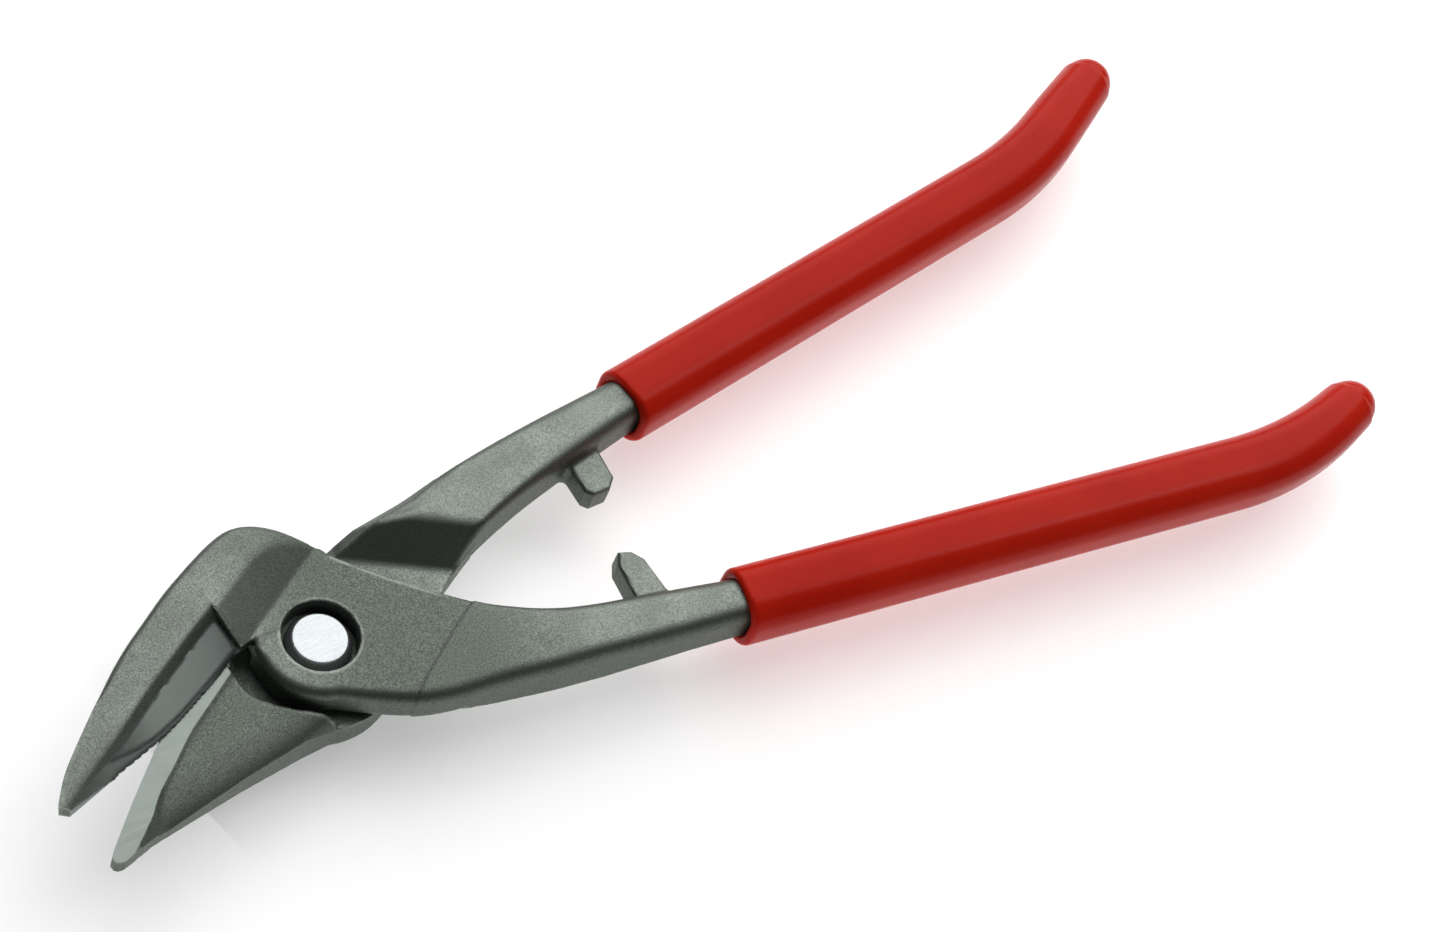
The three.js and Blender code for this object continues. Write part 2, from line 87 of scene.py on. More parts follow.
# boss, joint plate and pivot hardware
BOSS_R = 11.2
PLATE_R = 14.2
COUNTERBORE_R = 6.5
COUNTERBORE_FLOOR = -3.2
BOLT_HEAD_R = 5.7
BOLT_FACE_R = 4.6
BOLT_CHAMFER = 2.1
SHANK_R = 4.0
KEY_FLAT = 3.2                  # half the width across the flats of the keyed neck
WASHER_R = 9.0
WASHER_T = 1.0
SPRING_R = 7.6
SPRING_T = 0.7
SPRING_CONE = 0.5
NUT_FLATS = 13.0
NUT_T = 4.6
COLLAR_R = 5.6
COLLAR_T = 1.7
THREAD_PITCH = 1.25

LUG_LOW = -8.4                  # the stop lugs lie between these two levels
LUG_HIGH = -3.2

# handles, sizes across (in the plane of the tool) and deep (along Z)
TANG_W = 8.4
TANG_D = 10.2
TANG_CORNER = 3.0
TANG_END_GAP = 9.0              # the tang stops this far short of the grip's end
GRIP_W = 13.1
GRIP_D = 12.9
GRIP_CORNER = 5.2
GRIP_SWELL = 0.2                # how much wider a grip is where its bend starts
GRIP_NARROW = 2.4               # how much narrower it is at its end
GRIP_LIP = 1.0                  # rounding of the mouth
GRIP_NOSE = 6.0                 # length of the rounded end
BEND_R = 78.0
TANG_FRONT = HANDLE_MID + TANG_D / 2
TANG_BACK = HANDLE_MID - TANG_D / 2

FRONT_HANDLE = {"x": 71.0, "y": -23.1, "heading": math.radians(-9.1), "straight": 111.4,
                "bend": math.radians(22.0), "tail": 11.1}
REAR_HANDLE = {"x": 74.4, "y": 20.8, "heading": math.radians(8.3), "straight": 101.0,
               "bend": math.radians(17.0), "tail": 26.0}

# levels of the pivot hardware, from the rear lever's back face downwards
WASHER_TOP = JOINT_BACK - GAP
SPRING_TOP = WASHER_TOP - WASHER_T - GAP
NUT_TOP = SPRING_TOP - SPRING_T - SPRING_CONE - GAP
NUT_LOW = NUT_TOP - NUT_T
COLLAR_LOW = NUT_LOW - COLLAR_T
BOLT_STICKS_OUT = 0.6           # how far the bolt ends beyond the nut's collar
BOLT_END = COLLAR_LOW - BOLT_STICKS_OUT
THREAD_R = SHANK_R - 0.25
DIAGONAL = 0.7071               # cosine of 45 degrees


# ---- field kit: numpy functions of x, y, z, negative inside -----------------------------------------

def smoothstep(value, low, high):
    t = np.clip((value - low) / (high - low), 0.0, 1.0)
    return t * t * (3 - 2 * t)


def both(a, b, radius):
    """What a and b share, its convex edge rounded."""
    outside = np.hypot(np.maximum(a + radius, 0), np.maximum(b + radius, 0))
    return np.minimum(np.maximum(a, b), -radius) + outside


def either(a, b, radius):
    """a and b joined, with a fillet in the corner between them."""
    return -both(-a, -b, radius)


def outline_distance(points, x, y):
    """Signed distance to a closed outline in the tool's plane."""
    nearest = np.inf
    inside = False
    for (ax, ay), (bx, by) in zip(points, points[1:] + points[:1]):
        ex, ey = bx - ax, by - ay
        wx, wy = x - ax, y - ay
        t = np.clip((wx * ex + wy * ey) / (ex * ex + ey * ey), 0, 1)
        nearest = np.minimum(nearest, (wx - t * ex) ** 2 + (wy - t * ey) ** 2)
        spans = (ay > y) != (by > y)
        if ey != 0:
            inside = inside ^ (spans & (wx < ex * wy / ey))
    return np.sqrt(nearest) * np.where(inside, -1.0, 1.0)


def smooth(points, steps=5):
    """A curve through the points, as a longer list of points."""
    padded = [points[0]] + list(points) + [points[-1]]
    curve = []
    for p0, p1, p2, p3 in zip(padded, padded[1:], padded[2:], padded[3:]):
        for i in range(steps):
            t = i / steps
            curve.append(tuple(
                0.5 * (2 * b + (c - a) * t + (2 * a - 5 * b + 4 * c - d) * t ** 2
                       + (3 * b - a - 3 * c + d) * t ** 3)
                for a, b, c, d in zip(p0, p1, p2, p3)
            ))
    return curve + [tuple(points[-1])]


def arc(radius, start_deg, end_deg, steps=16):
    angles = np.radians(np.linspace(start_deg, end_deg, steps + 1))
    return [(radius * math.cos(a), radius * math.sin(a)) for a in angles]


def across(x, y, heading_deg):
    """Distance to the left of a line through the pivot with that heading."""
    heading = math.radians(heading_deg)
    return y * math.cos(heading) - x * math.sin(heading)


def along_curve(points, x):
    """The y of a curve, given as points with rising x."""
    xs, ys = zip(*smooth(points))
    return np.interp(x, xs, ys)


# ---- dual contouring: a field becomes a mesh with a vertex in each cell that the surface crosses ------

CORNER_SOFTNESS = 0.04      # how strongly a vertex is held near the middle of its cell's crossings
SLAB = 60                   # grid planes that are worked out at a time
REFINEMENTS = 3             # times that each crossing is narrowed down
SHORTEST = 0.02             # least share of an edge that a refinement cuts off
TINY = 1e-12
NO_AREA = 1e-9              # square millimetres


def sample(field, axes):
    """The field at every grid point, in slabs so that the arrays stay small."""
    x, y, z = axes
    slabs = np.array_split(x, max(1, len(x) // SLAB))
    shape = (len(y), len(z))
    return np.concatenate([
        np.broadcast_to(field(slab[:, None, None], y[None, :, None], z[None, None, :]), (len(slab),) + shape)
        for slab in slabs
    ])


def crossings(field, axes, value, axis):
    """Grid edges along one axis that the surface crosses: their lower corners, the points and directions."""
    inside = value < 0
    low = [slice(None)] * 3
    high = [slice(None)] * 3
    low[axis], high[axis] = slice(0, -1), slice(1, None)
    corner = np.argwhere(inside[tuple(low)] != inside[tuple(high)])
    far = corner.copy()
    far[:, axis] += 1
    a = np.column_stack([axes[i][corner[:, i]] for i in range(3)])
    b = np.column_stack([axes[i][far[:, i]] for i in range(3)])
    va = value[tuple(corner.T)]
    vb = value[tuple(far.T)]
    leaves = va < 0
    for _ in range(REFINEMENTS):
        t = np.clip(va / (va - vb), SHORTEST, 1 - SHORTEST)[:, None]
        middle = a + (b - a) * t
        vm = field(*middle.T)
        same = (vm < 0) == (va < 0)
        a = np.where(same[:, None], middle, a)
        va = np.where(same, vm, va)
        b = np.where(same[:, None], b, middle)
        vb = np.where(same, vb, vm)
    t = (va / (va - vb))[:, None]
    return corner, a + (b - a) * t, leaves


def gradient(field, points, reach=0.01):
    """The field's direction at each point, of length 1."""
    corners = np.array([(1, -1, -1), (-1, -1, 1), (-1, 1, -1), (1, 1, 1)], float)
    total = sum(c * field(*(points + reach * c).T)[:, None] for c in corners)
    return total / np.maximum(np.linalg.norm(total, axis=1), TINY)[:, None]


def meeting_points(points, normals, place, count):
    """For each cell, the point that lies best on the tangent planes of its crossings."""
    mean = np.column_stack([np.bincount(place, points[:, i]) for i in range(3)]) / count[:, None]
    offset = np.einsum("ij,ij->i", normals, points - mean[place])
    right = np.column_stack([np.bincount(place, normals[:, i] * offset) for i in range(3)])
    left = np.empty((len(count), 3, 3))
    for i in range(3):
        for j in range(3):
            left[:, i, j] = np.bincount(place, normals[:, i] * normals[:, j])
    left += np.eye(3) * (CORNER_SOFTNESS * count)[:, None, None]
    return mean + np.linalg.solve(left, right[:, :, None])[:, :, 0]


def contour(field, low, high, step):
    """Vertices and quads of the surface of the field between two corners."""
    axes = [np.arange(a - 1.5 * step, b + 2.5 * step, step) for a, b in zip(low, high)]
    value = sample(field, axes)
    cells = tuple(n - 1 for n in value.shape)
    found = [crossings(field, axes, value, axis) for axis in range(3)]
    quads, keys, points, normals = [], [], [], []
    for axis, (corner, point, leaves) in enumerate(found):
        u, v = (axis + 1) % 3, (axis + 2) % 3
        ring = []
        for du, dv in ((0, 0), (1, 0), (1, 1), (0, 1)):
            cell = corner.copy()
            cell[:, u] -= du
            cell[:, v] -= dv
            ring.append(np.ravel_multi_index(tuple(cell.T), cells))
        ring = np.column_stack(ring)
        ring[leaves] = ring[leaves][:, ::-1]
        quads.append(ring[:, ::-1])
        normal = gradient(field, point)
        for column in range(4):
            keys.append(ring[:, column])
            points.append(point)
            normals.append(normal)
    keys = np.concatenate(keys)
    points = np.concatenate(points)
    normals = np.concatenate(normals)
    used, place = np.unique(keys, return_inverse=True)
    meeting = meeting_points(points, normals, place, np.bincount(place).astype(float))
    index = np.column_stack(np.unravel_index(used, cells))
    start = np.column_stack([axes[i][index[:, i]] for i in range(3)])
    vertices = np.clip(meeting, start, start + step)
    faces = np.searchsorted(used, np.concatenate(quads))
    return vertices, faces


def clean_quads(vertices, faces):
    """The faces without those that have shrunk to nothing."""
    a, b, c, d = (vertices[faces[:, i]] for i in range(4))
    area = np.linalg.norm(np.cross(c - a, d - b), axis=1)
    return faces[area > NO_AREA]


def mesh_piece(name, vertices, faces):
    """A smooth Blender object from vertices in millimetres."""
    mesh = bpy.data.meshes.new(name)
    mesh.from_pydata((vertices * MM).tolist(), [], faces)
    mesh.validate()
    mesh.update()
    mesh.shade_smooth()
    piece = bpy.data.objects.new(name, mesh)
    bpy.context.scene.collection.objects.link(piece)
    return piece


def paint(piece, name, values):
    """A number on each vertex, for the material to read."""
    layer = piece.data.attributes.new(name, "FLOAT", "POINT")
    layer.data.foreach_set("value", np.asarray(values, np.float32))


SHARP_ANGLE = math.radians(32.0)
EDGE_REACH = 0.8            # how far from an edge its wear is felt
NORMAL_REACH = 0.05         # how far round a vertex its direction is measured
MARGIN = 2.0                # how far a piece may reach beyond its packed box


def field_piece(name, field, low, high, step):
    """A piece made from a field, with its worn edges marked, and its hollows marked for painted shade."""
    vertices, faces = contour(field, low, high, step * FINE)
    piece = mesh_piece(name, vertices, clean_quads(vertices, faces).tolist())
    piece.data.set_sharp_from_angle(angle=SHARP_ANGLE)
    normal = gradient(field, vertices, NORMAL_REACH)
    inner = field(*(vertices - normal * EDGE_REACH).T)
    outer = field(*(vertices + normal * EDGE_REACH).T)
    paint(piece, "wear", np.clip(inner / EDGE_REACH + 1, 0, 1))
    # how deep in a hollow each vertex lies, for the materials to darken as painted shade
    paint(piece, "hollow", np.clip(1 - outer / EDGE_REACH, 0, 1))
    return piece, vertices, normal


# ---- handles ----------------------------------------------------------------------------------------

def handle_length(handle):
    return handle["straight"] + BEND_R * handle["bend"] + handle["tail"]


def handle_point(handle, distance):
    """Place and heading on a handle's centreline: straight, a bend to the left, a short straight tail."""
    straight = min(distance, handle["straight"])
    bent = min(max(distance - handle["straight"], 0), BEND_R * handle["bend"])
    tail = max(distance - handle["straight"] - BEND_R * handle["bend"], 0)
    start = handle["heading"]
    heading = start + bent / BEND_R
    x = handle["x"] + straight * math.cos(start) + tail * math.cos(heading)
    y = handle["y"] + straight * math.sin(start) + tail * math.sin(heading)
    x += BEND_R * (math.sin(heading) - math.sin(start))
    y -= BEND_R * (math.cos(heading) - math.cos(start))
    return x, y, heading


def tang_edges(handle, steps=12):
    """Points down both edges of the tang, left and right, from the root to its end."""
    end = handle_length(handle) - TANG_END_GAP
    bend_end = handle["straight"] + BEND_R * handle["bend"]
    stations = [0.0] + list(np.linspace(handle["straight"], bend_end, steps)) + [end]
    left, right = [], []
    for distance in stations:
        x, y, heading = handle_point(handle, distance)
        dx, dy = -math.sin(heading) * TANG_W / 2, math.cos(heading) * TANG_W / 2
        left.append((x + dx, y + dy))
        right.append((x - dx, y - dy))
    return left, right


# ---- front lever ------------------------------------------------------------------------------------

FRONT_BACK = BEARING + GAP / 2
BLADE_LOW = SHEAR + GAP / 2

# the crank, which climbs from the boss to the blade across a heading in degrees
SLOPE_HEADING = 30.3
SLOPE_FOOT = 8.4                # where the slope leaves the boss
SLOPE_RISE = 0.617
SLOPE_COS = 0.851
CRANK_BACK_FOOT = 11.5          # where the back of the crank starts to climb
CRANK_BACK_RISE = 0.72
CRANK_BACK_LIP = 1.0
BLADE_ROOT = -10.4              # where the blade's back drops into the crank
BLADE_ROOT_LENGTH = 0.8
BLADE_ROOT_DROP = 5.0

# the blade's outer face: it thins towards the tip and rolls down at the crank
THINS_FROM = -15
THINS_OVER = 35
ROLLS_FROM = -6.5
FACE_ROLL = 0.024
SPINE_MIDDLE = 8.0              # the spine is rounded beyond the middle between this and the bevel
SPINE_FADE = 3.0

# the ground bevel, with a steeper facet along the cutting edge that widens towards the tip
TIP_FROM, TIP_FULL = 24.0, 52.0
FACET_WIDTH = 1.2
FACET_WIDENS = 2.0
FACET_RISE = 1.9
FACET_RISE_LOST = 0.8
STEP_WIDTH = 1.3                # forged step between the blade's face and its ground bevel
STEP_DROP = 2.2
STEP_FADE = 0.5
SHORTEST_BEVEL = 0.5
BEVEL_END = -12.0               # where the grinding stops, as x + BEVEL_END_SLANT * y
BEVEL_END_SLANT = 0.32
BEVEL_END_RISE = 14.0
BEVEL_COS, FACET_COS, STEP_COS = 0.85, 0.5, 0.51
BEVEL_PAINT_INSET = 0.2
BEVEL_PAINT_DEPTH = 0.02        # what lies this far below the blade is no longer bevel
FACET_ROUND = 0.3               # rounding between bevel and facet
FACET_ROUND_LOST = 0.25

# the handle's root, which stands proud of the boss beyond a curved step
ROOT_STEP = -0.3, 0.35          # from and to, across the step
SHOULDER = 17.0, -19.0          # a point of the shoulder behind the boss
SHOULDER_HEADING = 56.3
LOW_SIDE_SLANT = 0.32
LOW_SIDE = 2.0, -4.0            # from and to, across the lever
BOSS_INSET = 0.25

# profiles along the lever: places along X, and the value at each
FRONT_FALL = [26, 38, 47, 59, 71], [0.0, 0.2, 0.6, 1.0, HANDLE_FRONT - TANG_FRONT]
FRONT_DEPTH = [16, 24, 34, 44, 60], [BEARING, -7.4, -8.9, -10.3, TANG_BACK]
TOP_ROUND = [20, 32, 60], [0.35, 1.2, TANG_CORNER]
LOW_ROUND = [0, 24, 60], [1.9, 2.6, TANG_CORNER]
FRONT_BACK_ROUND = [22, 60], [0.5, TANG_CORNER]
SPINE_ROUND = [-50, -20, -8, 6], [0.7, 1.3, 1.7, 0.7]

# rounding of edges and corners
HEAD_FILLET = 1.6
LUG_FILLET = 1.4
LUG_EDGE = 0.7
FACE_EDGE = 0.5
STEP_EDGE = 0.8
HOLE_EDGE = 0.3
SHARPEST = 0.02

BLADE_SPINE = [
    (8.4, 13.4), (6.6, 15.2), (4.8, 16.8), (1.5, 19.3), (-2.4, 21.2), (-6.1, 21.8), (-9.6, 21.0),
    (-14.5, 18.8), (-20.4, 15.8), (-25.8, 12.5), (-31.4, 8.9), (-36.5, 4.8), (-46.1, -3.7),
    (-49.5, -7.5), (-50.8, -9.9),
]
UPPER_EDGE = [(-49.4, -10.9), (-44.4, -9.3), (-39.5, -7.8), (-30.6, -5.0), (-20.7, -0.5), (-14.1, 2.9)]
BEVEL_LINE = [
    (-50.3, -11.3), (-45.2, -8.4), (-38.2, -4.7), (-31.5, -0.5), (-24.6, 3.5), (-19.9, 6.2), (-14.5, 9.1),
]
HEAD_ROOT = [(-12.3, 3.4), (-9.0, 4.5), (-2.0, 4.0), (5.0, 6.0)]
FRONT_LUG = [(54.4, -18.5), (55.5, -7.6), (56.9, -5.4), (59.2, -6.3), (60.6, -8.5), (61.2, -19.0)]


def front_body_outline():
    """Boss, handle root and tang of the front lever, seen from the front."""
    left, right = tang_edges(FRONT_HANDLE)
    slope_foot = [(7.6, 13.8), (11.5, 9.2), (15.5, 4.9), (20.3, 0.2)]
    top = smooth([(26.2, -4.7), (30.4, -7.5), (38.1, -11.2), (46.6, -13.6), (58.9, -16.0), left[0]])
    low = smooth([
        right[0], (57.6, -25.4), (44.1, -23.3), (34.2, -22.0), (24.0, -20.3), (14.5, -19.0),
        (8.0, -17.0), (2.4, -14.0),
    ])
    round_end = arc(BOSS_R, 256, 166)
    return slope_foot + top + left[1:] + right[:0:-1] + low + round_end


def root_face_outline():
    """The part of the front that stands proud of the boss, beyond a curved step."""
    step = smooth([(28.2, -3.8), (22.0, -7.3), (17.5, -10.2), (12.2, -13.7), (8.5, -16.8), (6.5, -19.5)])
    beyond_the_handle = [(60, -60), (90, -10)]
    return step + beyond_the_handle


FRONT_BODY = front_body_outline()
ROOT_FACE = root_face_outline()
FRONT_HEAD = smooth(BLADE_SPINE) + UPPER_EDGE + HEAD_ROOT


def front_body(x, y, z):
    """Boss, handle root and tang."""
    outline = outline_distance(FRONT_BODY, x, y)
    proud = smoothstep(-outline_distance(ROOT_FACE, x, y), *ROOT_STEP)
    falling = np.interp(x, *FRONT_FALL)
    front = z - (BOSS_FRONT + (HANDLE_FRONT - BOSS_FRONT) * proud - falling)
    deep = np.interp(x, *FRONT_DEPTH)
    shoulder = across(x - SHOULDER[0], y - SHOULDER[1], SHOULDER_HEADING)
    back = np.minimum(FRONT_BACK - z, np.maximum(deep - z, shoulder))
    low_side = smoothstep(y + LOW_SIDE_SLANT * x, *LOW_SIDE)
    top_round = np.interp(x, *TOP_ROUND)
    low_round = np.interp(x, *LOW_ROUND)
    inset = BOSS_INSET * (1 - proud) * low_side
    body = both(outline + inset, front, top_round + (low_round - top_round) * low_side)
    return both(body, back, np.interp(x, *FRONT_BACK_ROUND))


def blade_face(x):
    """Height of the outer face of the front blade."""
    taper = np.clip((THINS_FROM - x) / THINS_OVER, 0, 1)
    rolled = FACE_ROLL * np.maximum(x - ROLLS_FROM, 0) ** 2
    return BLADE_FRONT + (BLADE_FRONT_TIP - BLADE_FRONT) * taper - rolled


def front_head_top(x, y, z, side, bevel_y):
    """The top of the blade and crank: outer face, slope, forged step and grinding."""
    edge_y = along_curve(UPPER_EDGE, x)
    face_z = blade_face(x)
    slope = (z - BOSS_FRONT - (side - SLOPE_FOOT) * SLOPE_RISE) * SLOPE_COS
    near_tip = smoothstep(-x, TIP_FROM, TIP_FULL)
    drop = STEP_DROP * (1 - STEP_FADE * near_tip)
    start_y = edge_y - (FACET_WIDTH + FACET_WIDENS * near_tip)
    run = np.maximum(bevel_y - start_y, SHORTEST_BEVEL)
    end_wall = BEVEL_END_RISE * np.maximum(x + BEVEL_END_SLANT * y - BEVEL_END, 0)
    bevel = z - BLADE_LOW - (y - start_y) * (face_z - drop - BLADE_LOW) / run - end_wall
    facet = z - BLADE_LOW - (FACET_RISE - FACET_RISE_LOST * near_tip) * (y - edge_y) - end_wall
    rounding = FACET_ROUND - FACET_ROUND_LOST * near_tip
    ground = both(bevel * BEVEL_COS, facet * FACET_COS, rounding)
    step = (z - face_z - drop / STEP_WIDTH * (y - bevel_y - STEP_WIDTH)) * STEP_COS
    return both(both(z - face_z, slope, FACE_EDGE), np.minimum(step, ground), STEP_EDGE)


def front_head(x, y, z):
    """The crank and the hooked blade, ground to its cutting edge."""
    bevel_y = along_curve(BEVEL_LINE, x)
    side = across(x, y, SLOPE_HEADING)
    middle = 0.5 * (bevel_y + SPINE_MIDDLE)
    spine_round = np.interp(x, *SPINE_ROUND) * smoothstep(y, middle, middle + SPINE_FADE)
    top = front_head_top(x, y, z, side, bevel_y)
    head = both(outline_distance(FRONT_HEAD, x, y), top, np.maximum(spine_round, SHARPEST))
    crank_low = FRONT_BACK + CRANK_BACK_LIP + (side - CRANK_BACK_FOOT) * CRANK_BACK_RISE
    blade_low = BLADE_LOW - BLADE_ROOT_DROP * np.clip((x - BLADE_ROOT) / BLADE_ROOT_LENGTH, 0, 1)
    low = np.maximum(np.clip(crank_low, FRONT_BACK, BLADE_LOW), blade_low)
    return np.maximum(head, low - z)


def lug(outline, x, y, z):
    """A stop lug on the inner side of a handle."""
    middle, half = (LUG_LOW + LUG_HIGH) / 2, (LUG_HIGH - LUG_LOW) / 2
    return both(outline_distance(outline, x, y), np.abs(z - middle) - half, LUG_EDGE)


def front_lever(x, y, z):
    lever = either(front_body(x, y, z), front_head(x, y, z), HEAD_FILLET)
    lever = either(lever, lug(FRONT_LUG, x, y, z), LUG_FILLET)
    axis = np.hypot(x, y)
    counterbore = np.maximum(axis - COUNTERBORE_R, COUNTERBORE_FLOOR - z)
    lever = both(lever, -counterbore, HOLE_EDGE)
    keyhole = np.maximum(axis - SHANK_R - GAP / 2, np.abs(y) - KEY_FLAT - GAP / 2)
    return np.maximum(lever, -keyhole)


def on_front_bevel(points):
    """How far a point lies inside the ground bevel of the front blade, below zero outside it."""
    x, y, z = points.T
    bevel_y = along_curve(BEVEL_LINE, x)
    inside = np.minimum(bevel_y - y, BEVEL_END - BEVEL_PAINT_INSET - x - BEVEL_END_SLANT * y)
    return np.where(z > BLADE_LOW - BEVEL_PAINT_DEPTH, inside, -1.0)


# ---- rear lever -------------------------------------------------------------------------------------

REAR_TOP = SHEAR - GAP / 2
PLATE_FRONT = BEARING - GAP / 2
ROOT_SINK = 0.9                 # how much lower the root lies than the front lever's
ROOT_FRONT = HANDLE_FRONT - ROOT_SINK

# the slope from the plate up to the handle's root, across a heading in degrees
REAR_SLOPE_HEADING = -30.5
REAR_SLOPE_FOOT = 18.0
REAR_SLOPE_RISE = 0.796
REAR_SLOPE_COS = 0.782

# the blade's belly, which falls away from the ground strip and turns down at its flank
BELLY_HEADING = 14.4
BELLY_FLANK = -13.0             # where it has turned straight down, across its heading
BELLY_TILT = 0.07
STRIP_ACROSS, STRIP_UP = 0.64, 0.77     # direction in which the wedge beside the strip faces
BACK_RISES_FROM = -9            # the blade's back rises from here to the tip
BACK_RISES_OVER = 38

# the upper side of the root, which rolls down to its edge and is chamfered beside the slope
UPPER_SLANT = 0.15
UPPER_FROM, UPPER_FULL = 9.0, 12.0
ROOT_ROLL = 0.05
ROOT_ROLL_WIDTH = 6.5

# profiles along the lever: places along X, and the value at each
BELLY_RADIUS = [-40, -12], [11.5, 8.5]
REAR_FALL = [47, 60, 74], [0.0, 0.1, ROOT_FRONT - TANG_FRONT]
REAR_DEPTH = [36, 60], [HANDLE_BACK, TANG_BACK]
ROLL_FADE = [26, 38], [1, 0]
ROOT_ROUND = [20, 40, 62], [0.4, 1.8, TANG_CORNER]
ROOT_CHAMFER = [6, 12, 28, 40], [1.2, 1.8, 1.5, 0.0]
REAR_BACK_ROUND = [30, 60], [0.6, TANG_CORNER]

# rounding of edges and corners
BELLY_EDGE = 2.0
STRIP_FILLET = 0.5
CUTTING_EDGE = 0.03
BACK_EDGE = 0.8
POCKET_EDGE = 0.7
SLOPE_EDGE = 0.7
PLATE_EDGE = 0.35
PLATE_BACK_EDGE = 0.6
PLATE_FILLET = 0.5

LOWER_BLADE = [
    (-17.4, 7.9), (-32.7, -6.2), (-39.6, -12.4), (-45.9, -18.5), (-46.7, -19.5), (-46.6, -20.3),
    (-46.0, -20.8), (-45.1, -20.9), (-38.9, -18.9), (-31.4, -17.5), (-21.5, -15.7), (-9.3, -13.9),
    (0.1, -13.5), (0.8, -12.2),
]
# inner line of the ground strip beside the lower cutting edge
STRIP_LINE = [
    (-44.2, -21.0), (-38.8, -16.6), (-35.2, -12.9), (-31.5, -10.0), (-26.4, -5.9), (-22.0, -3.1),
    (-16.4, 0.4), (-13.0, 2.5),
]
STRIP_TURN = 0.75               # cosine of that line's heading
STRIP_ROOT = -11                # the strip starts here
STRIP_DEPTH = 0.25              # what lies this far below the strip is no longer ground
STRIP_DEPTH_WEIGHT = 4
PLATE_OUTLINE = arc(PLATE_R, 84, 336, 40) + [
    (19.0, -3.2), (27.0, 2.6), (35.3, 7.1), (35.0, 18.0), (24.5, 17.0), (10.0, 15.4),
]
POCKET = smooth([
    (-1.6, -17.0), (-1.9, -14.6), (-3.1, -12.8), (-4.5, -11.5), (-6.4, -10.3), (-9.4, -8.6),
    (-12.2, -6.3), (-14.2, -3.9), (-15.1, -1.1), (-15.4, 1.7), (-16.2, 5.6),
])
POCKET += [(-14.0, 9.0), (0.0, 13.0), (12.0, 0.0), (6.0, -16.0)]
REAR_LUG = [(58.2, 18.0), (58.1, 7.4), (59.2, 6.1), (62.6, 6.1), (64.6, 8.0), (65.2, 18.6)]


def rear_root_outline():
    """Handle root and tang of the rear lever, seen from the front."""
    left, right = tang_edges(REAR_HANDLE)
    top = smooth([
        (7.6, 15.0), (12.6, 16.5), (24.3, 18.2), (34.8, 19.6), (47.1, 21.7), (60.0, 23.5), left[0],
    ])
    low = smooth([right[0], (60.9, 13.7), (47.2, 10.8), (35.3, 7.1), (27.9, 3.2), (21.0, -1.0)])
    return top + left[1:] + right[:0:-1] + low


REAR_ROOT = rear_root_outline()


def strip_distance(x, y):
    """Distance from the inner line of the ground strip, towards the belly."""
    return (along_curve(STRIP_LINE, x) - y) * STRIP_TURN


def lower_blade(x, y, z):
    """The belly of the lower blade, its ground strip, and the pocket for the boss."""
    beyond = strip_distance(x, y)
    side = across(x, y, BELLY_HEADING)
    tilted = z - REAR_TOP + BELLY_TILT * beyond
    radius = np.interp(x, *BELLY_RADIUS)
    inwards = np.minimum(side - BELLY_FLANK - radius, 0)
    upwards = np.maximum(z - REAR_TOP + radius, 0)
    body = both(tilted, np.hypot(inwards, upwards) - radius, BELLY_EDGE)
    wedge = STRIP_ACROSS * beyond + STRIP_UP * (z - REAR_TOP)
    top = np.maximum(z - REAR_TOP, either(body, wedge, STRIP_FILLET))
    blade = both(outline_distance(LOWER_BLADE, x, y), top, CUTTING_EDGE)
    rise = (BLADE_BACK_TIP - JOINT_BACK) / BACK_RISES_OVER
    back = JOINT_BACK + rise * np.maximum(BACK_RISES_FROM - x, 0) - z
    blade = both(blade, back, BACK_EDGE)
    pocket = np.maximum(outline_distance(POCKET, x, y), PLATE_FRONT - z)
    return both(blade, -pocket, POCKET_EDGE)


def rear_root(x, y, z):
    """Handle root and tang, with the slope that leads up from the plate."""
    outline = outline_distance(REAR_ROOT, x, y)
    falling = np.interp(x, *REAR_FALL)
    upper = smoothstep(y - UPPER_SLANT * x, UPPER_FROM, UPPER_FULL)
    rolled = ROOT_ROLL * np.maximum(outline + ROOT_ROLL_WIDTH, 0) ** 2 * upper * np.interp(x, *ROLL_FADE)
    face = z - ROOT_FRONT + falling + rolled
    side = across(x, y, REAR_SLOPE_HEADING)
    slope = (z - PLATE_FRONT - (side - REAR_SLOPE_FOOT) * REAR_SLOPE_RISE) * REAR_SLOPE_COS
    top = both(face, slope, SLOPE_EDGE)
    root = both(outline, top, np.interp(x, *ROOT_ROUND))
    width = np.interp(x, *ROOT_CHAMFER) * upper
    root = np.maximum(root, (outline + top + width) * DIAGONAL)
    return both(root, np.interp(x, *REAR_DEPTH) - z, np.interp(x, *REAR_BACK_ROUND))


def rear_lever(x, y, z):
    plate = both(outline_distance(PLATE_OUTLINE, x, y), z - PLATE_FRONT, PLATE_EDGE)
    plate = both(plate, JOINT_BACK - z, PLATE_BACK_EDGE)
    lever = either(plate, rear_root(x, y, z), PLATE_FILLET)
    lever = np.minimum(lever, lower_blade(x, y, z))
    lever = either(lever, lug(REAR_LUG, x, y, z), LUG_FILLET)
    hole = np.hypot(x, y) - SHANK_R - GAP / 2
    return both(lever, -hole, HOLE_EDGE)


def on_rear_strip(points):
    """How far a point lies inside the ground strip of the rear blade, below zero outside it."""
    x, y, z = points.T
    inside = np.minimum(-strip_distance(x, y), (z - REAR_TOP + STRIP_DEPTH) * STRIP_DEPTH_WEIGHT)
    return np.where(x < STRIP_ROOT, inside, -1.0)


LEVEL_FROM, LEVEL_FULL = 0.75, 0.97     # how far a face must look up to be rubbed
RUB_FADE = 30                           # the rubbing grows over this length of the handle
BLADE_RUB = -5, 17                      # and between these distances in front of the pivot


